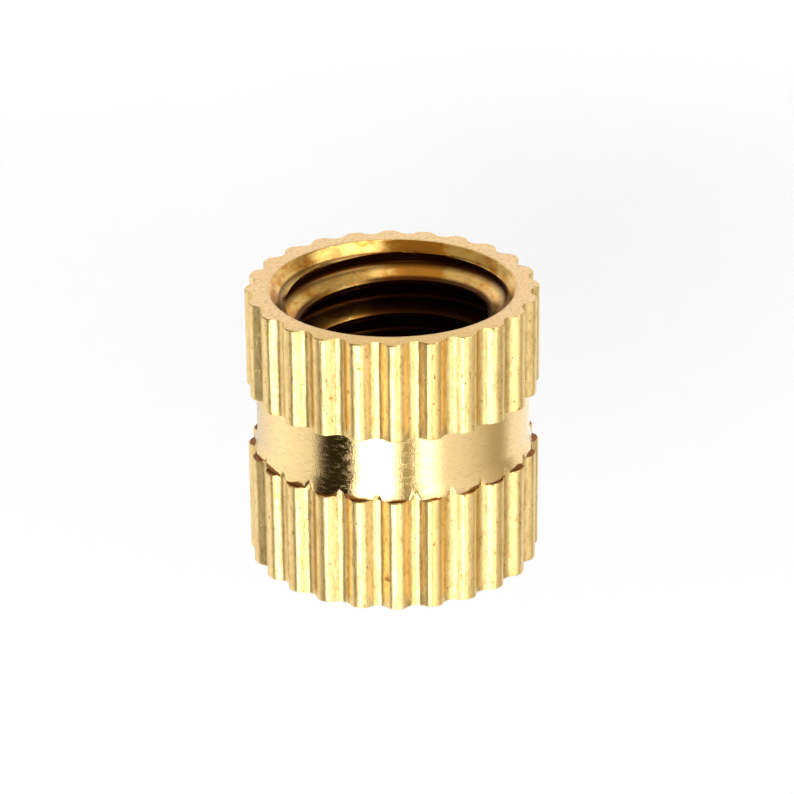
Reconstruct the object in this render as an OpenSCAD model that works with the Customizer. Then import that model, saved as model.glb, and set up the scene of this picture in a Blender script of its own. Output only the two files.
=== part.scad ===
// Threaded insert: a turned brass sleeve with two straight-knurled bands and a threaded bore.
// It stands on its lower end face, and the bore runs along Z.

/* [Sleeve] */
// Length from end face to end face
sleeve_length = 7.8; // [6.6:0.1:12]
// Diameter of the neck between the bands, and of the valley floors between the ridges
neck_diameter = 7.5; // [7.2:0.05:7.6]
// Diameter that the neck flares to where it meets the lower band
flare_diameter = 7.7; // [7.6:0.05:7.8]
// Height of that flare
flare_height = 0.45; // [0.2:0.05:0.6]

/* [Knurled bands] */
// Diameter over the ridges
knurl_diameter = 8.0; // [7.9:0.05:8.6]
// Height of the band at the upper end
upper_band_height = 2.8; // [1.5:0.1:3]
// Height of the band at the lower end
lower_band_height = 3.2; // [1.5:0.1:3.5]
// Number of ridges round a band
ridge_count = 24; // [18:1:26]
// Width of a ridge where it rises from the valley floor
ridge_width = 0.76; // [0.6:0.02:0.9]
// Width of the land on top of a ridge
land_width = 0.33; // [0.15:0.01:0.4]

/* [Bore] */
// Diameter of the bore wall, which is the minor diameter of the thread
bore_diameter = 5.2; // [4.5:0.05:5.5]
// Diameter of the countersunk mouth at each end face
mouth_diameter = 6.75; // [6:0.05:7]
// Included angle of the countersinks
mouth_angle = 90; // [60:5:120]

/* [Hidden] */

// Depth of each countersink, where its cone reaches the bore wall
mouth_depth = (mouth_diameter - bore_diameter) / 2 / tan(mouth_angle / 2);
// How far a cutter runs past the face that it cuts
overrun = 1;
// Sides of the round forms: the sleeve and the bore
sleeve_sides = 192;
bore_sides = 128;
// How deep a ridge's section is rooted below the valley floors
root_depth = 0.3;

// A ridge's straight flanks run from the edges of its land to the edges of its foot,
// and narrow it by flank_slope on each side for each millimetre of height
land_rise = sqrt(pow(knurl_diameter / 2, 2) - pow(land_width / 2, 2));
foot_rise = sqrt(pow(neck_diameter / 2, 2) - pow(ridge_width / 2, 2));
flank_slope = (ridge_width - land_width) / 2 / (land_rise - foot_rise);
function ridge_half_width(rise) = land_width / 2 + (land_rise - rise) * flank_slope;

// Section of one ridge along +X, taller than its land, which the band's outer circle cuts
module ridge_section() {
    root = foot_rise - root_depth;
    tip = knurl_diameter / 2;
    polygon([
        [root, -ridge_half_width(root)],
        [tip, -ridge_half_width(tip)],
        [tip, ridge_half_width(tip)],
        [root, ridge_half_width(root)]
    ]);
}

// Section of a band: the neck's circle with the ridges set round it, turned off at the lands.
// One ridge faces -Y.
module band_section() {
    intersection() {
        circle(d = knurl_diameter, $fn = sleeve_sides);
        union() {
            circle(d = neck_diameter, $fn = sleeve_sides);
            for (i = [0 : ridge_count - 1])
                rotate(i * 360 / ridge_count - 90) ridge_section();
        }
    }
}

module knurled_band(height) {
    linear_extrude(height = height) band_section();
}

// The lower band's valleys run on into this cone until it meets the neck
module neck_flare() {
    translate([0, 0, lower_band_height])
        intersection() {
            cylinder(d1 = flare_diameter, d2 = neck_diameter, h = flare_height, $fn = sleeve_sides);
            knurled_band(flare_height);
        }
}

// Bore wall with the countersink at each end, as one turned cutter
module bore_cutter() {
    rotate_extrude($fn = bore_sides)
        polygon([
            [0, -overrun],
            [mouth_diameter / 2, -overrun],
            [mouth_diameter / 2, 0],
            [bore_diameter / 2, mouth_depth],
            [bore_diameter / 2, sleeve_length - mouth_depth],
            [mouth_diameter / 2, sleeve_length],
            [mouth_diameter / 2, sleeve_length + overrun],
            [0, sleeve_length + overrun]
        ]);
}

module insert_body() {
    color([0.80, 0.63, 0.33])
        difference() {
            union() {
                cylinder(d = neck_diameter, h = sleeve_length, $fn = sleeve_sides);
                neck_flare();
                knurled_band(lower_band_height);
                translate([0, 0, sleeve_length - upper_band_height]) knurled_band(upper_band_height);
            }
            bore_cutter();
        }
}

insert_body();
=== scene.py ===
import math
import bpy
from mathutils import Matrix, Vector


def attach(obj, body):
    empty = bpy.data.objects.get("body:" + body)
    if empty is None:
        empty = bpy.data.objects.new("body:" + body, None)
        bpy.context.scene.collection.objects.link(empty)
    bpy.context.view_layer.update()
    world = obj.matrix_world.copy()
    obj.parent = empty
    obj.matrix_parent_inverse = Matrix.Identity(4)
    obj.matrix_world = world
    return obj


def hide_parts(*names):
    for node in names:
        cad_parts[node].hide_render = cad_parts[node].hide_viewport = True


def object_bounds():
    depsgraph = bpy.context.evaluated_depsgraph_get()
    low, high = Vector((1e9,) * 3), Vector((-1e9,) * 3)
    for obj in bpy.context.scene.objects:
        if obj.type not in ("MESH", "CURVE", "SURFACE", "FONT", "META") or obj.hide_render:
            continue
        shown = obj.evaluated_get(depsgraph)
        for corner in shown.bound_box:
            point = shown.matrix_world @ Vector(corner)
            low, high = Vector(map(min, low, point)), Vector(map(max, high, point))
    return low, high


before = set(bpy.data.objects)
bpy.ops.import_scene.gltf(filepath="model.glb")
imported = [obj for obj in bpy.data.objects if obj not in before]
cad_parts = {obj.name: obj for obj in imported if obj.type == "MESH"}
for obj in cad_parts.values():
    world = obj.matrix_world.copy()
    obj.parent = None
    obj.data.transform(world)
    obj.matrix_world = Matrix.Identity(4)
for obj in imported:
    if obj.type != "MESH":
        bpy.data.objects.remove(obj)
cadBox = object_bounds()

scene = bpy.context.scene
mm = 0.001      # metres
print("insert: frame loaded")


# small node helpers, used by the sleeve's tree, the finishes and the studio
def feed(tree, socket, value):
    if isinstance(value, bpy.types.NodeSocket):
        tree.links.new(value, socket)
    else:
        socket.default_value = value


def addNode(tree, kind, inputs=None, **settings):
    node = tree.nodes.new(kind)
    for name, value in settings.items():
        setattr(node, name, value)
    for name, value in (inputs or {}).items():
        feed(tree, node.inputs[name], value)
    return node


def calc(tree, operation, *values):
    node = tree.nodes.new("ShaderNodeMath")
    node.operation = operation
    for socket, value in zip(node.inputs, values):
        feed(tree, socket, value)
    return node.outputs[0]


def remap(tree, value, fromLow, fromHigh, toLow, toHigh, smooth=False):
    node = addNode(tree, "ShaderNodeMapRange", {
        "Value": value, "From Min": fromLow, "From Max": fromHigh,
        "To Min": toLow, "To Max": toHigh})
    if smooth:
        node.interpolation_type = "SMOOTHSTEP"
    return node.outputs[0]


def blended(tree, share, first, second):
    # share 0 gives the first colour, 1 the second
    node = addNode(tree, "ShaderNodeMix", data_type="RGBA")
    factor, colourA, colourB = node.inputs[0], node.inputs[6], node.inputs[7]
    feed(tree, factor, share)
    feed(tree, colourA, first)
    feed(tree, colourB, second)
    return node.outputs[2]


def gap(tree, value, number):
    return calc(tree, "ABSOLUTE", calc(tree, "SUBTRACT", value, number))


def most(tree, first, *others):
    for other in others:
        first = calc(tree, "MAXIMUM", first, other)
    return first


def bearing(tree, x, y):
    # radians round from -Y, growing towards +X
    return calc(tree, "ARCTAN2", x, calc(tree, "MULTIPLY", y, -1.0))


# the camera looks down at the upper end face, from near the ridge that faces -Y
cameraView = {
    "swing": -0.8,          # degrees to the right of that ridge
    "elevation": 23.121,    # degrees, from the middle of the upper face to the camera
    "pitch": 24.919,        # degrees that the lens looks down
    "yaw": 0.068,           # degrees to the right
    "roll": -0.508,         # degrees anticlockwise
    "distance": 0.09586,    # metres, from the middle of the upper face
    "lens": 160.4,          # millimetres, on the sensor below
    "sensor": 36.0,
    "near": 0.005,          # metres
    "far": 20.0,
}


def placeCamera(view):
    elevation, pitch = math.radians(view["elevation"]), math.radians(view["pitch"])
    yaw, roll = math.radians(view["yaw"]), math.radians(view["roll"])
    level = Vector((math.cos(yaw), -math.sin(yaw), 0.0))
    forward = Vector((math.sin(yaw) * math.cos(pitch), math.cos(yaw) * math.cos(pitch),
                      -math.sin(pitch)))
    upward = level.cross(forward)
    right = level * math.cos(roll) + upward * math.sin(roll)
    up = upward * math.cos(roll) - level * math.sin(roll)
    turn = Matrix((right, up, -forward)).transposed()
    place = Vector((0.0, -math.cos(elevation), math.sin(elevation))) * view["distance"]
    place.z += cadBox[1][2]
    swing = Matrix.Rotation(math.radians(view["swing"]), 4, "Z")
    data = bpy.data.cameras.new("photoCamera")
    data.lens = view["lens"]
    data.sensor_width = view["sensor"]
    data.clip_start = view["near"]
    data.clip_end = view["far"]
    camera = bpy.data.objects.new("photoCamera", data)
    scene.collection.objects.link(camera)
    camera.matrix_world = swing @ Matrix.Translation(place) @ turn.to_4x4()
    scene.camera = camera


placeCamera(cameraView)
print("insert: camera placed")


# brass, as turned, knurled and a little soiled, with painted shade in creases and in the bore:
# noise is given in cycles to the metre, and a pair of levels says where in the noise something
# begins to show and where it shows fully
knurlFinish = {
    "tint": (0.88, 0.66, 0.29, 1.0),
    "roughness": 0.36,
    "streaks": (9000.0, 9000.0, 700.0),     # drawn out along the ridges
    "grain": (13000.0, 13000.0, 6000.0),
    "patches": (4600.0, 4600.0, 1300.0),
    "grainShare": 0.4,                      # of the mottle; the patches are the rest of it
    "patchTint": (0.74, 0.51, 0.19, 1.0),
    "patchLevels": (0.42, 0.6),
    "darkTint": (0.28, 0.13, 0.03, 1.0),
    "grimeLevels": (0.56, 0.72),
    "grimeShare": 0.7,
    "specks": (11000.0, 11000.0, 6000.0),
    "speckLevels": (0.66, 0.71),
    "speckShare": 0.85,
    "cornerRadius": 0.0038,                 # metres: painted shade and grime darken the foot of the flanks
    "cornerWidth": 0.00006,
    "cornerShare": 0.5,
    "cornerLevels": (0.4, 0.62),
    "cornerLeast": 0.2,                     # what is left of it where the mottle is clean
    "darkenedLand": 15.0,                       # degrees round from -Y, of a land painted darker: a painted darker reflection
    "darkenedLandReach": (3.2, 2.2),                # degrees from its middle, where that starts and is full
    "darkenedLandShare": 0.75,
    "grainRelief": 0.5,                     # beside the streaks'
    "bumpStrength": 0.6,
    "bumpDepth": 0.00001,
    "landRadius": 0.004,                    # metres: the pits lie on the lands
    "pitShare": 0.95,
    "pits": {                               # degrees round from -Y, height and size in mm
        "lowPit": (-4.9, 0.88, 0.13),
        "leftPit": (-33.8, 7.1, 0.08),
        "middlePit": (-18.8, 6.4, 0.07),
        "topPit": (-4.9, 6.95, 0.08),
        "rightPit": (22.2, 5.9, 0.07),
    },
}
neckFinish = {
    "tint": (0.90, 0.65, 0.30, 1.0),
    "roughness": 0.06,
    "lines": (4500.0, 4500.0, 17000.0),     # turning lines round the neck, broken here and there
    "scratchLevels": (0.5, 0.62),
    "scratchRoughness": 0.25,
    "darkTint": (0.25, 0.12, 0.03, 1.0),
    "grimeLevels": (0.5, 0.75),
    "grimeShare": 0.3,
    "specks": 6200.0,
    "speckLevels": (0.72, 0.77),
    "speckShare": 0.85,
    "bandNoise": 1500.0,
    "bandNoiseLevels": (0.4, 0.6),
    "shadeAndStainFoot": 0.0032,                    # metres: painted shade and grime darken the foot of the flare, from here up
    "shadeAndStainHeight": 0.00011,
    "shadeAndStainFade": 0.00002,
    "shadeAndStainShare": 0.95,
    "shadeAndStainTint": (0.27, 0.095, 0.012, 1.0),
    "shadeAndStainRoughness": 0.5,
    "grain": 19000.0,
    "grainRelief": 0.6,                     # beside the lines'
    "bumpStrength": 1.0,
    "bumpDepth": 0.000004,
}
faceFinish = {
    "tint": (0.84, 0.60, 0.31, 1.0),
    "roughness": 0.45,
    "minusYTint": (0.70, 0.48, 0.17, 1.0), # the side towards -Y is darker and yellower
    "minusYReach": (-0.002, -0.0034),      # metres in Y, where that starts and is full
    "minusYShare": 0.85,
    "patches": 11000.0,
    "darkTint": (0.50, 0.28, 0.09, 1.0),
    "grimeLevels": (0.46, 0.7),
    "grimeShare": 0.7,
    "grain": 14000.0,
    "bumpStrength": 0.5,
    "bumpDepth": 0.00002,
}
ledgeShadeAndGrime = {
    "tint": (0.33, 0.12, 0.02, 1.0),        # painted shade and grime darken the ledges, in the corners beside the neck
    "roughness": 0.5,
    "patches": 2600.0,
    "darkTint": (0.08, 0.03, 0.01, 1.0),
    "grimeLevels": (0.46, 0.7),
    "grimeShare": 0.7,
    "grain": 9000.0,
    "bumpStrength": 0.5,
    "bumpDepth": 0.00002,
}
boreFinish = {
    "tint": (0.90, 0.57, 0.17, 1.0),
    "roughness": 0.2,
    "lines": (1500.0, 1500.0, 9000.0),
    "darkTint": (0.08, 0.024, 0.005, 1.0),
    "shadeAndGrimeRoughness": 0.36,
    "darkDepths": (0.0009, 0.0014),         # metres from an end face, from no painted shade to full painted shade
    "grooveRadii": (0.0029, 0.0031),        # metres: out here the grooves get painted shade
    "mouthDepths": (0.00026, 0.0003),       # metres from an end face: not in the mouth itself
    "crestRadii": (0.00276, 0.00268),       # metres: in here the crests get painted shade too, dimming their highlights
    "crestShare": 0.95,
    "unshadedStripAt": -0.0014,                    # metres in X: on a strip of the thread the painted shade is left off, deep down and on the crests
    "unshadedStripWidth": 0.001,
    "patches": (1500.0, 1500.0, 4000.0),
    "patchLevels": (0.45, 0.75),
    "patchShare": 0.4,
    "tarnish": (1900.0, 1900.0, 3600.0),
    "tarnishTint": (0.66, 0.27, 0.035, 1.0),
    "tarnishLevels": (0.46, 0.66),
    "tarnishInside": 0.14,                  # more of it between the dark depths
    "tarnishAt": 0.0007,                    # metres in X: it is heaviest here, away from -Y
    "tarnishReach": (0.0002, 0.0011),       # and thins out over this distance
    "tarnishHeavy": 0.32,
    "bumpStrength": 0.6,
    "bumpDepth": 0.000008,
}


def newBrass(name, finish):
    material = bpy.data.materials.new(name)
    material.use_nodes = True
    tree = material.node_tree
    shader = tree.nodes["Principled BSDF"]
    shader.inputs["Metallic"].default_value = 1.0
    shader.inputs["Roughness"].default_value = finish["roughness"]
    return material, tree, shader


def objectNoise(tree, scale, detail, roughness=0.6):
    # one number scales the noise evenly, three stretch it
    stretch = scale if isinstance(scale, tuple) else (scale,) * 3
    place = addNode(tree, "ShaderNodeTexCoord")
    mapping = addNode(tree, "ShaderNodeMapping", {
        "Vector": place.outputs["Object"], "Scale": stretch})
    noise = addNode(tree, "ShaderNodeTexNoise", {
        "Vector": mapping.outputs["Vector"], "Scale": 1.0,
        "Detail": detail, "Roughness": roughness})
    return noise.outputs["Fac"]


def objectPlace(tree):
    # X, Y, height and distance from the axis
    place = addNode(tree, "ShaderNodeTexCoord")
    split = addNode(tree, "ShaderNodeSeparateXYZ", {"Vector": place.outputs["Object"]})
    x, y, z = (split.outputs[axis] for axis in "XYZ")
    squares = calc(tree, "ADD", calc(tree, "MULTIPLY", x, x), calc(tree, "MULTIPLY", y, y))
    return x, y, z, calc(tree, "SQRT", squares)


def coloured(tree, shader, share, first, second):
    feed(tree, shader.inputs["Base Color"], blended(tree, share, first, second))


def bumped(tree, shader, relief, finish):
    bump = addNode(tree, "ShaderNodeBump", {
        "Height": relief, "Strength": finish["bumpStrength"], "Distance": finish["bumpDepth"]})
    feed(tree, shader.inputs["Normal"], bump.outputs["Normal"])


def speckled(tree, finish):
    noise = objectNoise(tree, finish["specks"], detail=2.0)
    return remap(tree, noise, *finish["speckLevels"], 0.0, finish["speckShare"])


def grimed(tree, noise, finish):
    return remap(tree, noise, *finish["grimeLevels"], 0.0, finish["grimeShare"])


def pitted(tree, pit, grain, finish):
    # a dark pit on a land: the grain draws its edge out unevenly
    turn, height, size = math.radians(pit[0]), pit[1] * mm, pit[2] * mm
    middle = [finish["landRadius"] * math.sin(turn), -finish["landRadius"] * math.cos(turn), height]
    place = addNode(tree, "ShaderNodeTexCoord")
    away = addNode(tree, "ShaderNodeVectorMath", {
        0: place.outputs["Object"], 1: middle}, operation="DISTANCE")
    reach = calc(tree, "MULTIPLY_ADD", grain, -2.0 * size, away.outputs["Value"])
    return remap(tree, reach, 0.0, size / 2, finish["pitShare"], 0.0)


def makeKnurlBrass(name, finish):
    material, tree, shader = newBrass(name, finish)
    streaks = objectNoise(tree, finish["streaks"], detail=4.0)
    grain = objectNoise(tree, finish["grain"], detail=2.0)
    patches = objectNoise(tree, finish["patches"], detail=5.0, roughness=0.7)
    specks = speckled(tree, finish)
    patchPart = calc(tree, "MULTIPLY", patches, 1.0 - finish["grainShare"])
    mottle = calc(tree, "MULTIPLY_ADD", grain, finish["grainShare"], patchPart)
    worn = remap(tree, mottle, *finish["patchLevels"], 0.0, 1.0)
    colour = blended(tree, worn, finish["tint"], finish["patchTint"])

    x, y, _, radius = objectPlace(tree)
    # one land is painted darker in the patches' tint, as a painted darker reflection
    fromDarkenedLand = gap(tree, bearing(tree, x, y), math.radians(finish["darkenedLand"]))
    landShadeStart, landShadeFull = (math.radians(turn) for turn in finish["darkenedLandReach"])
    landShade = remap(tree, fromDarkenedLand, landShadeStart, landShadeFull, 0.0, finish["darkenedLandShare"])
    colour = blended(tree, landShade, colour, finish["patchTint"])

    # painted shade in the crease at the foot of the flanks, uneven with the mottle as grime is
    fromCorner = gap(tree, radius, finish["cornerRadius"])
    inCorner = remap(tree, fromCorner, 0.0, finish["cornerWidth"], finish["cornerShare"], 0.0)
    uneven = remap(tree, mottle, *finish["cornerLevels"], finish["cornerLeast"], 1.0)
    corner = calc(tree, "MULTIPLY", inCorner, uneven)
    pits = [pitted(tree, pit, grain, finish) for pit in finish["pits"].values()]
    darkened = most(tree, specks, grimed(tree, mottle, finish), corner, *pits)
    coloured(tree, shader, darkened, colour, finish["darkTint"])
    relief = calc(tree, "MULTIPLY_ADD", grain, finish["grainRelief"], streaks)
    bumped(tree, shader, calc(tree, "SUBTRACT", relief, specks), finish)
    return material


def makeNeckBrass(name, finish):
    material, tree, shader = newBrass(name, finish)
    lines = objectNoise(tree, finish["lines"], detail=5.0, roughness=0.7)
    grain = objectNoise(tree, finish["grain"], detail=2.0)
    bandNoise = objectNoise(tree, finish["bandNoise"], detail=1.0)
    # painted shade and grime in the corner at the foot of the neck, with a ragged top
    shadeAndStainRise = remap(tree, bandNoise, *finish["bandNoiseLevels"], 0.0, finish["shadeAndStainHeight"])
    shadeAndStainTop = calc(tree, "ADD", shadeAndStainRise, finish["shadeAndStainFoot"])
    aboveBandTop = calc(tree, "SUBTRACT", objectPlace(tree)[2], shadeAndStainTop)
    shadedAndStained = remap(tree, aboveBandTop, -finish["shadeAndStainFade"], finish["shadeAndStainFade"],
                    finish["shadeAndStainShare"], 0.0)
    darkened = most(tree, speckled(tree, finish), grimed(tree, lines, finish))
    colour = blended(tree, darkened, finish["tint"], finish["darkTint"])
    coloured(tree, shader, shadedAndStained, colour, finish["shadeAndStainTint"])
    scratched = remap(tree, lines, *finish["scratchLevels"],
                      finish["roughness"], finish["scratchRoughness"])
    dulled = calc(tree, "MULTIPLY", shadedAndStained, finish["shadeAndStainRoughness"])
    feed(tree, shader.inputs["Roughness"], most(tree, scratched, dulled))
    bumped(tree, shader, calc(tree, "MULTIPLY_ADD", grain, finish["grainRelief"], lines), finish)
    return material


def makeFaceBrass(name, finish):
    material, tree, shader = newBrass(name, finish)
    grain = objectNoise(tree, finish["grain"], detail=5.0, roughness=0.65)
    patches = objectNoise(tree, finish["patches"], detail=5.0, roughness=0.7)
    colour = finish["tint"]
    if "minusYTint" in finish:
        towardsMinusY = remap(tree, objectPlace(tree)[1], *finish["minusYReach"],
                        0.0, finish["minusYShare"])
        colour = blended(tree, towardsMinusY, colour, finish["minusYTint"])
    coloured(tree, shader, grimed(tree, patches, finish), colour, finish["darkTint"])
    bumped(tree, shader, grain, finish)
    return material


def makeBoreBrass(name, finish):
    # the mouths are clean; further in, the thread has painted shade deep down, in its grooves and
    # on its crests, and patches of grime
    material, tree, shader = newBrass(name, finish)
    x, y, z, radius = objectPlace(tree)
    depth = calc(tree, "MINIMUM", z, calc(tree, "SUBTRACT", cadBox[1][2], z))
    # a strip without the painted shade deep down and on the crests, so that the thread's
    # reflections show there
    fromUnshadedStrip = gap(tree, x, finish["unshadedStripAt"])
    outsideUnshadedStrip = remap(tree, fromUnshadedStrip, 0.0, finish["unshadedStripWidth"], 0.0, 1.0, smooth=True)
    # painted shade deep in the bore, darker further from the end faces
    darkening = remap(tree, depth, *finish["darkDepths"], 0.0, 1.0, smooth=True)
    deep = calc(tree, "MULTIPLY", outsideUnshadedStrip, darkening)
    # painted shade in the thread's grooves, past the mouth
    wide = remap(tree, radius, *finish["grooveRadii"], 0.0, 1.0)
    pastMouth = remap(tree, depth, *finish["mouthDepths"], 0.0, 1.0)
    grooves = calc(tree, "MULTIPLY", wide, pastMouth)
    # painted shade on the thread's crests
    narrow = remap(tree, radius, *finish["crestRadii"], 0.0, finish["crestShare"])
    crests = calc(tree, "MULTIPLY", outsideUnshadedStrip, narrow)
    patches = remap(tree, objectNoise(tree, finish["patches"], detail=5.0),
                    *finish["patchLevels"], 0.0, finish["patchShare"])
    darkened = most(tree, deep, grooves, crests, patches)

    fromTarnish = gap(tree, x, finish["tarnishAt"])
    near = remap(tree, fromTarnish, *finish["tarnishReach"], finish["tarnishHeavy"], 0.0,
                 smooth=True)
    heavy = calc(tree, "MULTIPLY", near, calc(tree, "GREATER_THAN", y, 0.0))
    inside = remap(tree, depth, *finish["darkDepths"], 0.0, finish["tarnishInside"])
    mottle = calc(tree, "ADD", objectNoise(tree, finish["tarnish"], detail=5.0, roughness=0.7),
                  calc(tree, "ADD", heavy, inside))
    tarnished = remap(tree, mottle, *finish["tarnishLevels"], 0.0, 1.0)
    colour = blended(tree, tarnished, finish["tint"], finish["tarnishTint"])
    coloured(tree, shader, darkened, colour, finish["darkTint"])
    feed(tree, shader.inputs["Roughness"],
         remap(tree, darkened, 0.0, 1.0, finish["roughness"], finish["shadeAndGrimeRoughness"]))
    bumped(tree, shader, objectNoise(tree, finish["lines"], detail=5.0), finish)
    return material


knurlBrass = makeKnurlBrass("knurlBrass", knurlFinish)
neckBrass = makeNeckBrass("neckBrass", neckFinish)
faceBrass = makeFaceBrass("faceBrass", faceFinish)
# the ledges' dark colour is painted shade and grime
ledgeShadeAndGrimeBrass = makeFaceBrass("ledgeShadeAndGrimeBrass", ledgeShadeAndGrime)
boreBrass = makeBoreBrass("boreBrass", boreFinish)
print("insert: brass finishes made")


# the sleeve, in millimetres: knurled bands, neck, end faces, countersinks and thread
sleeveSizes = {
    "Length": 7.8,
    "Neck Radius": 3.75,
    "Flare Radius": 3.85,
    "Flare Height": 0.45,
    "Run-out Lift": 0.03,   # how much the valleys rise where they run out into the flare
    "Run-out Slope": 0.35,  # how steeply they rise to either side there
    "Run-out Round": 0.02,  # and how softly they meet it
    "Knurl Radius": 4.0,
    "Lower Band": 3.2,
    "Upper Band": 2.8,
    "Ridge Width": 0.76,
    "Land Width": 0.33,
    "Land Round": 0.15,     # how softly the flanks turn into the land
    "Valley Round": 0.12,   # and into the valley floor
    "Ripple": 0.02,         # unevenness of the drawn ridges
    "Edge Break": 0.03,
    "Bore Radius": 2.6,
    "Mouth Radius": 3.375,
    "Mouth Depth": 0.775,
    "Mouth Break": 0.02,    # the worn edge round each mouth
    "Mouth Round": 0.03,    # how softly the thread turns into the countersink
    "Thread Pitch": 1.0,
    "Thread Depth": 0.52,
    "Root Width": 0.28,
    "Root Round": 0.06,
    "Crest Round": 0.04,
    "Thread Start": 0.49,   # depth of the first groove below the upper face, at the back
    "Thread Hand": -1.0,    # -1 falls anticlockwise seen from above, 1 is the common right hand
}
sleeveGrid = {
    "ridges": 24,
    "columnsPerRidge": 18,
    "columnsPerBoreColumn": 3,
    "lowerRows": 44,
    "flareRows": 14,
    "neckRows": 12,
    "upperRows": 38,
    "faceRings": 5,
    "boreTurns": 9,
    "rowsPerTurn": 20,
}
sleeveWear = {
    "rippleAround": 16.0,   # noise steps to the radian
    "rippleAlong": 1.1,     # and to the millimetre of height
    "breakAround": 9.0,
    "breakSpread": 2.0,     # how much the broken ends differ, beside their mean
    "noiseDetail": 2.0,
}
knurlZone, neckZone, ledgeZone, faceZone, boreZone = range(5)
flareCurve = 1.5            # above 1, the flare is hollow, as a fillet is
runOutDepth = 0.01          # millimetres under the flare, from where a face is a valley's
mergeDistance = 0.0005      # millimetres
crispAngle = 38             # degrees between faces, past which an edge is shaded as one
threadFlank = 30            # degrees that a thread's flank leans


def buildSleeveTree(sizes, grid, wear):
    tree = bpy.data.node_groups.new("knurledSleeve", "GeometryNodeTree")
    for name, value in sizes.items():
        socket = tree.interface.new_socket(name=name, in_out="INPUT",
                                           socket_type="NodeSocketFloat")
        socket.default_value = value
    tree.interface.new_socket(name="Geometry", in_out="OUTPUT",
                              socket_type="NodeSocketGeometry")
    given = tree.nodes.new("NodeGroupInput").outputs
    result = tree.nodes.new("NodeGroupOutput")

    def m(operation, *values):
        return calc(tree, operation, *values)

    def ramp(value, first, last, rise):
        # grows from nothing at first to rise at last, and stays there
        return remap(tree, value, first, last, 0.0, rise)

    def mixed(share, first, second):
        # share 0 gives the first value, 1 the second
        return m("ADD", m("MULTIPLY", first, m("SUBTRACT", 1.0, share)),
                 m("MULTIPLY", second, share))

    def isAt(count, number):
        # 1 where the count is this number, and 0 elsewhere
        return m("COMPARE", count, float(number), 0.1)

    def unevenness(angle, around, z):
        # from -0.5 to 0.5, and the same again after a full turn
        vector = addNode(tree, "ShaderNodeCombineXYZ", {
            "X": m("MULTIPLY", m("COSINE", angle), around),
            "Y": m("MULTIPLY", m("SINE", angle), around), "Z": z}).outputs[0]
        noise = addNode(tree, "ShaderNodeTexNoise", {
            "Vector": vector, "Scale": 1.0, "Detail": wear["noiseDetail"]})
        return m("SUBTRACT", noise.outputs["Fac"], 0.5)

    def fromPolar(radius, angle, z):
        return addNode(tree, "ShaderNodeCombineXYZ", {
            "X": m("MULTIPLY", radius, m("COSINE", angle)),
            "Y": m("MULTIPLY", radius, m("SINE", angle)), "Z": z}).outputs[0]

    def sheet(columnCount, rowCount):
        # flat grid whose X and Y count its columns and rows from zero
        flat = addNode(tree, "GeometryNodeMeshGrid", {
            "Size X": float(columnCount), "Size Y": float(rowCount),
            "Vertices X": columnCount + 1, "Vertices Y": rowCount + 1})
        place = addNode(tree, "ShaderNodeSeparateXYZ", {
            "Vector": addNode(tree, "GeometryNodeInputPosition").outputs[0]})
        column = m("ADD", place.outputs["X"], columnCount / 2)
        row = m("ADD", place.outputs["Y"], rowCount / 2)
        return flat.outputs["Mesh"], column, row

    def shaped(mesh, position, zone):
        stored = addNode(tree, "GeometryNodeStoreNamedAttribute", {
            "Geometry": mesh, "Name": "zone"}, data_type="INT", domain="FACE")
        feed(tree, stored.inputs["Value"], zone)
        return addNode(tree, "GeometryNodeSetPosition", {
            "Geometry": stored.outputs[0], "Position": position}).outputs[0]

    def flipped(mesh):
        return addNode(tree, "GeometryNodeFlipFaces", {"Mesh": mesh}).outputs[0]

    length, edge, mouthBreak = given["Length"], given["Edge Break"], given["Mouth Break"]
    neckRadius, knurlRadius = given["Neck Radius"], given["Knurl Radius"]
    boreRadius, mouthRadius = given["Bore Radius"], given["Mouth Radius"]

    # ridge section: columns are set closer on the flanks, and a ridge faces -Y
    columnsPerRidge = grid["columnsPerRidge"]
    columns = grid["ridges"] * columnsPerRidge
    ridgeStep = 2 * math.pi / grid["ridges"]
    firstRidge = -math.pi / 2
    halfStep = columnsPerRidge / 2
    landColumn, footColumn = 2.0, halfStep - 2.0
    halfWidth = m("MULTIPLY", given["Ridge Width"], 0.5)
    halfLandWidth = m("MULTIPLY", given["Land Width"], 0.5)
    halfLand = m("ARCSINE", m("DIVIDE", halfLandWidth, knurlRadius))
    halfFoot = m("ARCSINE", m("DIVIDE", halfWidth, neckRadius))
    landRise = m("MULTIPLY", knurlRadius, m("COSINE", halfLand))
    footRise = m("MULTIPLY", neckRadius, m("COSINE", halfFoot))
    flankSlope = m("DIVIDE", m("SUBTRACT", halfWidth, halfLandWidth),
                   m("SUBTRACT", landRise, footRise))
    flankReach = m("ADD", halfLandWidth, m("MULTIPLY", landRise, flankSlope))

    def ridgeAngles(column):
        # the angle round the axis, and the part of it from the middle of the nearest ridge
        shifted = m("ADD", column, halfStep)
        ridge = m("FLOOR", m("DIVIDE", shifted, columnsPerRidge))
        ridgeFoot = m("MULTIPLY", ridge, columnsPerRidge)
        local = m("SUBTRACT", m("SUBTRACT", shifted, ridgeFoot), halfStep)
        steps = m("ABSOLUTE", local)
        onLand = ramp(steps, 0.0, landColumn, halfLand)
        onFlank = ramp(steps, landColumn, footColumn, m("SUBTRACT", halfFoot, halfLand))
        onFloor = ramp(steps, footColumn, halfStep, m("SUBTRACT", ridgeStep / 2, halfFoot))
        turn = m("ADD", m("ADD", onLand, onFlank), onFloor)
        side = m("MULTIPLY", turn, m("SIGN", local))
        angle = m("ADD", m("MULTIPLY_ADD", ridge, ridgeStep, firstRidge), side)
        return angle, side

    def ridgeRadius(angle, side, z):
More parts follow.
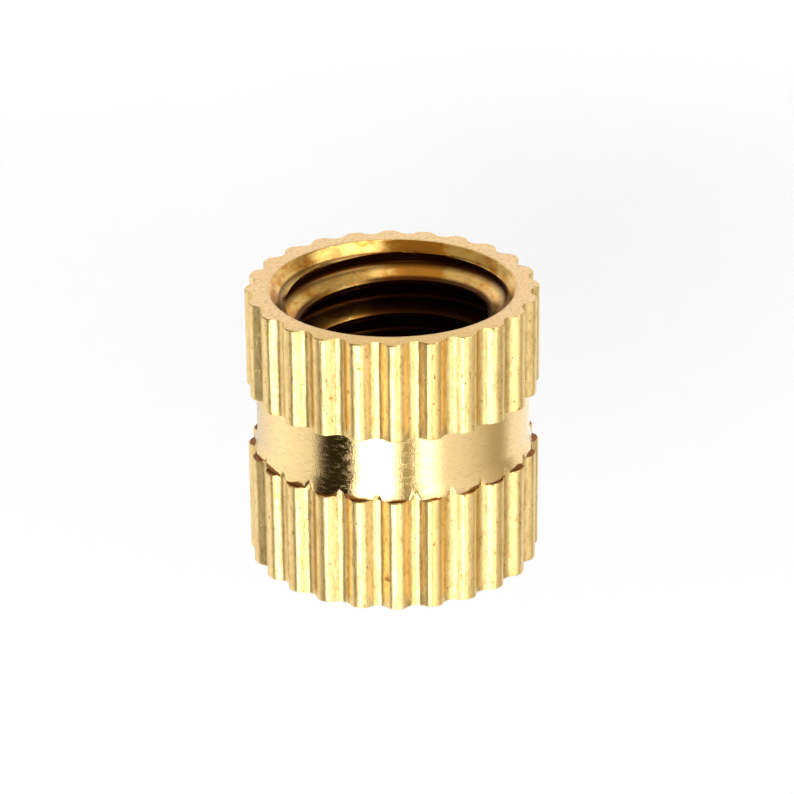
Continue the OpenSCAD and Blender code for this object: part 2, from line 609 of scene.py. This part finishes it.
        # the section of a ridge, made uneven along it
        across = m("ADD", m("SINE", m("ABSOLUTE", side)),
                   m("MULTIPLY", m("COSINE", side), flankSlope))
        flank = m("DIVIDE", flankReach, across)
        along = m("MULTIPLY", z, wear["rippleAlong"])
        ripple = m("MULTIPLY", unevenness(angle, wear["rippleAround"], along), given["Ripple"])
        crest = m("SMOOTH_MIN", flank, knurlRadius, given["Land Round"])
        whole = m("SMOOTH_MAX", crest, neckRadius, given["Valley Round"])
        return m("MINIMUM", m("ADD", whole, ripple), knurlRadius)

    def brokenEdge(angle, radius):
        # the ridges' ends are broken by an uneven amount, and the valleys not at all
        uneven = unevenness(angle, wear["breakAround"], 0.0)
        amount = m("MULTIPLY", edge, m("MULTIPLY_ADD", uneven, wear["breakSpread"], 1.0))
        rise = m("DIVIDE", m("SUBTRACT", radius, neckRadius),
                 m("SUBTRACT", knurlRadius, neckRadius))
        cut = m("MULTIPLY", m("MAXIMUM", amount, 0.0), m("MAXIMUM", rise, 0.0))
        return m("SUBTRACT", radius, cut)

    # outer wall, from the lower end face to the upper one
    lowerRows = grid["lowerRows"]
    flareStart = lowerRows + 1
    neckStart = flareStart + grid["flareRows"]
    neckEnd = neckStart + grid["neckRows"]
    upperStart = neckEnd + 1
    wallRows = upperStart + grid["upperRows"]
    mesh, column, row = sheet(columns, wallRows)
    neckHeight = m("SUBTRACT", m("SUBTRACT", length, given["Lower Band"]),
                   m("ADD", given["Upper Band"], given["Flare Height"]))

    def bandHeights(first, last, height):
        # the first and the last row are as high as the broken edge
        inner = m("SUBTRACT", height, m("MULTIPLY", edge, 2.0))
        return m("ADD", m("ADD", ramp(row, first, first + 1, edge),
                          ramp(row, first + 1, last - 1, inner)),
                 ramp(row, last - 1, last, edge))

    lowerPart = bandHeights(0, lowerRows, given["Lower Band"])
    middlePart = m("ADD", ramp(row, flareStart, neckStart, given["Flare Height"]),
                   ramp(row, neckStart, neckEnd, neckHeight))
    upperPart = bandHeights(upperStart, wallRows, given["Upper Band"])
    z = m("ADD", m("ADD", lowerPart, middlePart), upperPart)
    angle, side = ridgeAngles(column)
    ridge = ridgeRadius(angle, side, z)
    onEdge = m("ADD", m("ADD", isAt(row, 0), isAt(row, lowerRows)),
               m("ADD", isAt(row, upperStart), isAt(row, wallRows)))
    broken = mixed(onEdge, ridge, brokenEdge(angle, ridge))

    # the neck flares to the lower band, and the valleys run out into the flare
    flareShare = m("POWER", remap(tree, row, flareStart, neckStart, 1.0, 0.0), flareCurve)
    flareRise = m("SUBTRACT", given["Flare Radius"], neckRadius)
    flare = m("MULTIPLY_ADD", flareShare, flareRise, neckRadius)
    fromValley = m("MULTIPLY", m("SUBTRACT", ridgeStep / 2, m("ABSOLUTE", side)), neckRadius)
    runOut = m("ADD", m("ADD", ridge, given["Run-out Lift"]),
               m("MULTIPLY", fromValley, given["Run-out Slope"]))
    neck = m("MAXIMUM", m("SMOOTH_MIN", flare, runOut, given["Run-out Round"]), neckRadius)
    onNeck = m("MULTIPLY", m("GREATER_THAN", row, flareStart - 0.5),
               m("LESS_THAN", row, neckEnd + 0.5))
    radius = mixed(onNeck, broken, neck)
    onRunOut = m("MULTIPLY", m("LESS_THAN", runOut, m("SUBTRACT", flare, runOutDepth)),
                 m("LESS_THAN", row, float(neckStart)))
    onNeckFace = m("MULTIPLY", m("GREATER_THAN", row, float(flareStart)),
                   m("LESS_THAN", row, float(neckEnd)))
    onNeckFace = m("MULTIPLY", onNeckFace, m("SUBTRACT", 1.0, onRunOut))
    onLedge = m("ADD", isAt(row, lowerRows + 0.5), isAt(row, neckEnd + 0.5))
    wallZone = m("MULTIPLY_ADD", onLedge, float(ledgeZone), onNeckFace)
    wall = shaped(mesh, fromPolar(radius, angle, z), wallZone)

    # end faces: rings from the knurled outline to the mouth, the last two as coarse as the bore,
    # with the worn edge between them
    thinning, faceRings = grid["columnsPerBoreColumn"], grid["faceRings"]
    breakOutside, breakInside = 1.6, 1.0    # how far that edge goes, in mouth breaks

    def endFace(height, inward):
        mesh, column, ring = sheet(columns, faceRings)
        angle, side = ridgeAngles(column)
        outline = brokenEdge(angle, ridgeRadius(angle, side, height))
        boreColumn = m("ROUND", m("DIVIDE", column, float(thinning)))
        coarse = m("MULTIPLY", boreColumn, float(thinning))
        onLastTwo = m("GREATER_THAN", ring, faceRings - 1.5)
        level = mixed(onLastTwo, column, coarse)
        even = m("MULTIPLY_ADD", level, 2 * math.pi / columns, firstRidge)
        share = ramp(ring, 0.0, faceRings - 1.0, 1.0)
        turned = mixed(share, angle, even)
        rim = m("MULTIPLY_ADD", mouthBreak, breakOutside, mouthRadius)
        last = isAt(ring, faceRings)
        inwards = m("MULTIPLY", m("MULTIPLY", mouthBreak, breakOutside + breakInside), last)
        radius = m("SUBTRACT", mixed(share, outline, rim), inwards)
        z = m("ADD", height, m("MULTIPLY", m("MULTIPLY", mouthBreak, inward), last))
        return shaped(mesh, fromPolar(radius, turned, z), faceZone)

    upperFace = endFace(length, -1.0)
    lowerFace = flipped(endFace(0.0, 1.0))

    # bore: the rows run down the thread's helix, so that its faces point to the axis, and stop
    # at the ends
    boreColumns, rowsPerTurn = columns // thinning, grid["rowsPerTurn"]
    mesh, column, row = sheet(boreColumns, grid["boreTurns"] * rowsPerTurn)
    turns = m("DIVIDE", row, float(rowsPerTurn))
    around = m("DIVIDE", column, float(boreColumns))
    angle = m("MULTIPLY_ADD", around, 2 * math.pi, firstRidge)
    climb = m("MULTIPLY", m("SUBTRACT", around, 0.5), given["Thread Hand"])
    lift = m("MULTIPLY", m("ADD", m("SUBTRACT", climb, turns), 1.0), given["Thread Pitch"])
    z = m("ADD", m("SUBTRACT", length, given["Thread Start"]), lift)
    z = m("MAXIMUM", m("MINIMUM", z, m("SUBTRACT", length, mouthBreak)), mouthBreak)
    fromGroove = m("MULTIPLY", m("ABSOLUTE", m("SUBTRACT", turns, m("ROUND", turns))),
                   given["Thread Pitch"])
    rootRadius = m("ADD", boreRadius, given["Thread Depth"])
    pastRoot = m("SUBTRACT", fromGroove, m("MULTIPLY", given["Root Width"], 0.5))
    flank = m("DIVIDE", pastRoot, math.tan(math.radians(threadFlank)))
    groove = m("SMOOTH_MIN", rootRadius, m("SUBTRACT", rootRadius, flank), given["Root Round"])
    thread = m("SMOOTH_MAX", groove, boreRadius, given["Crest Round"])
    depth = m("MINIMUM", m("SUBTRACT", length, z), z)
    coneSlope = m("DIVIDE", m("SUBTRACT", mouthRadius, boreRadius), given["Mouth Depth"])
    cone = m("SUBTRACT", mouthRadius, m("MULTIPLY", depth, coneSlope))
    radius = m("SMOOTH_MAX", thread, cone, given["Mouth Round"])
    bore = shaped(mesh, fromPolar(radius, angle, z), boreZone)

    # one closed solid, in metres
    joined = addNode(tree, "GeometryNodeJoinGeometry")
    for part in (wall, upperFace, lowerFace, bore):
        tree.links.new(part, joined.inputs[0])
    merged = addNode(tree, "GeometryNodeMergeByDistance", {
        "Geometry": joined.outputs[0], "Distance": mergeDistance})
    small = addNode(tree, "GeometryNodeTransform", {
        "Geometry": merged.outputs[0], "Scale": (mm,) * 3})
    bend = addNode(tree, "GeometryNodeInputMeshEdgeAngle").outputs["Unsigned Angle"]
    soft = addNode(tree, "GeometryNodeSetShadeSmooth", {
        "Geometry": small.outputs[0]}, domain="FACE")
    crisp = addNode(tree, "GeometryNodeSetShadeSmooth", {
        "Geometry": soft.outputs[0], "Shade Smooth": False,
        "Selection": m("GREATER_THAN", bend, math.radians(crispAngle))}, domain="EDGE")
    real = addNode(tree, "GeometryNodeRealizeInstances", {"Geometry": crisp.outputs[0]})
    zone = addNode(tree, "GeometryNodeInputNamedAttribute", {"Name": "zone"}, data_type="INT")
    dressed = real.outputs[0]
    finishes = {knurlZone: knurlBrass, neckZone: neckBrass, ledgeZone: ledgeShadeAndGrimeBrass,
                faceZone: faceBrass, boreZone: boreBrass}
    for number, material in finishes.items():
        dressed = addNode(tree, "GeometryNodeSetMaterial", {
            "Geometry": dressed, "Selection": isAt(zone.outputs[0], number),
            "Material": material}).outputs[0]
    tree.links.new(dressed, result.inputs["Geometry"])
    return tree


def bakeTree(name, tree, sizes):
    piece = bpy.data.objects.new(name, bpy.data.meshes.new(name))
    scene.collection.objects.link(piece)
    modifier = piece.modifiers.new(tree.name, "NODES")
    modifier.node_group = tree
    for item in tree.interface.items_tree:
        if item.item_type == "SOCKET" and item.in_out == "INPUT" and item.name in sizes:
            modifier[item.identifier] = sizes[item.name]
    graph = bpy.context.evaluated_depsgraph_get()
    baked = bpy.data.meshes.new_from_object(piece.evaluated_get(graph))
    piece.modifiers.remove(modifier)
    piece.data = baked
    baked.name = name
    return piece


sleeveTree = buildSleeveTree(sleeveSizes, sleeveGrid, sleeveWear)
sleeve = bakeTree("insertSleeve", sleeveTree, sleeveSizes)
print("insert: sleeve built,", len(sleeve.data.polygons), "faces")

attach(sleeve, "root")
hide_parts("insert_body")


# white floor like a light table that curves up round the view, out of the brass's reflections
floorLook = {
    "sides": 96,
    "profile": [(0.25, 0.0), (0.34, 0.01), (0.4, 0.05), (0.43, 0.14), (0.44, 0.4)],
    "tint": (0.93, 0.93, 0.93, 1.0),
    "glow": 0.76,
}
# disc that keeps the bore dark from below, and shows in reflections only
shadeLook = {
    "sides": 48,
    "profile": [(0.0035, -0.00002)],
    "tint": (0.02, 0.015, 0.01, 1.0),
    "glow": 0.0,
}


def stagePiece(name, look):
    # a round disc, and rings that go up from it by the profile's radii and heights in metres
    sides = look["sides"]
    turns = [2 * math.pi * i / sides for i in range(sides)]
    points = [(radius * math.cos(turn), radius * math.sin(turn), z)
              for radius, z in look["profile"] for turn in turns]
    faces = [tuple(range(sides))]
    for ring in range(len(look["profile"]) - 1):
        for i in range(sides):
            a, b = ring * sides + i, ring * sides + (i + 1) % sides
            faces.append((a, b, b + sides, a + sides))
    mesh = bpy.data.meshes.new(name)
    mesh.from_pydata(points, [], faces)
    mesh.polygons.foreach_set("use_smooth", [True] * len(mesh.polygons))
    material = bpy.data.materials.new(name)
    material.use_nodes = True
    shader = material.node_tree.nodes["Principled BSDF"]
    shader.inputs["Base Color"].default_value = look["tint"]
    shader.inputs["Roughness"].default_value = 0.9
    shader.inputs["Specular IOR Level"].default_value = 0.0
    shader.inputs["Emission Color"].default_value = look["tint"]
    shader.inputs["Emission Strength"].default_value = look["glow"]
    mesh.materials.append(material)
    thing = bpy.data.objects.new(name, mesh)
    scene.collection.objects.link(thing)
    return thing


floor = stagePiece("paleFloor", floorLook)
floor.visible_glossy = False
floor.visible_shadow = False
shade = stagePiece("underShade", shadeLook)
shade.visible_camera = False
shade.visible_diffuse = False

# brightness round the insert, by degrees to the right of the camera, at three heights
studioRings = {
    "low": [(-180, 0.75), (-150, 0.9), (-120, 1.2), (-108, 1.3), (-80, 1.06), (-70, 0.95),
            (-64, 0.05), (-52, 0.02), (-31, 0.04), (-29, 5.0), (0, 4.6), (2, 0.5), (10, 0.4),
            (19, 0.5), (21, 3.2), (32, 3.2), (38, 1.1), (60, 0.97), (78, 0.74), (94, 0.5),
            (106, 0.48), (116, 1.1), (180, 1.1)],
    "middle": [(-180, 1.2), (-150, 1.1), (-120, 0.3), (-60, 0.06), (55, 0.05), (100, 0.5),
               (150, 1.1), (180, 1.2)],
    "high": [(-180, 1.6), (-150, 0.9), (-120, 0.5), (-80, 0.4), (14, 0.3), (28, 2.8), (70, 2.8),
             (74, 0.4), (81, 0.4), (85, 2.6), (96, 2.6), (100, 0.2), (125, 0.3), (150, 0.9),
             (180, 1.6)],
}
studioLight = {
    "peak": 5.0,                    # the brightest level above
    "dimGreen": 0.82,               # beside red, in the dimmest parts of the room
    "dimBlue": 0.4,
    "lowToMiddle": (0.06, 0.3),     # sines of the height angle between which one ring takes over
    "middleToHigh": (0.45, 0.7),
}


def lampColour(level, light):
    # the dimmer parts of the room are the warmer ones
    near = min(level, 1.0)
    share = level / light["peak"]
    green = light["dimGreen"] + (1 - light["dimGreen"]) * near
    blue = light["dimBlue"] + (1 - light["dimBlue"]) * near
    return (share, share * green, share * blue, 1.0)


def makeStudioLight(stopsByRing, light):
    world = bpy.data.worlds.new("softStudio")
    world.use_nodes = True
    scene.world = world
    tree = world.node_tree
    background = tree.nodes["Background"]
    place = addNode(tree, "ShaderNodeTexCoord")
    split = addNode(tree, "ShaderNodeSeparateXYZ", {"Vector": place.outputs["Generated"]})
    around = bearing(tree, split.outputs["X"], split.outputs["Y"])
    share = remap(tree, around, -math.pi, math.pi, 0.0, 1.0)
    rings = {}
    for name, stops in stopsByRing.items():
        ramp = addNode(tree, "ShaderNodeValToRGB", {"Fac": share})
        band = ramp.color_ramp
        while len(band.elements) < len(stops):
            band.elements.new(0.5)
        for element, (degrees, level) in zip(band.elements, stops):
            element.position = (degrees + cameraView["swing"] + 180) / 360
            element.color = lampColour(level, light)
        rings[name] = ramp.outputs["Color"]
    sine = split.outputs["Z"]
    aboveLow = remap(tree, sine, *light["lowToMiddle"], 0.0, 1.0, smooth=True)
    aboveMiddle = remap(tree, sine, *light["middleToHigh"], 0.0, 1.0, smooth=True)
    lower = blended(tree, aboveLow, rings["low"], rings["middle"])
    feed(tree, background.inputs["Color"], blended(tree, aboveMiddle, lower, rings["high"]))
    background.inputs["Strength"].default_value = light["peak"]


makeStudioLight(studioRings, studioLight)
scene.view_settings.view_transform = "Standard"
scene.view_settings.look = "None"
print("insert: studio made")
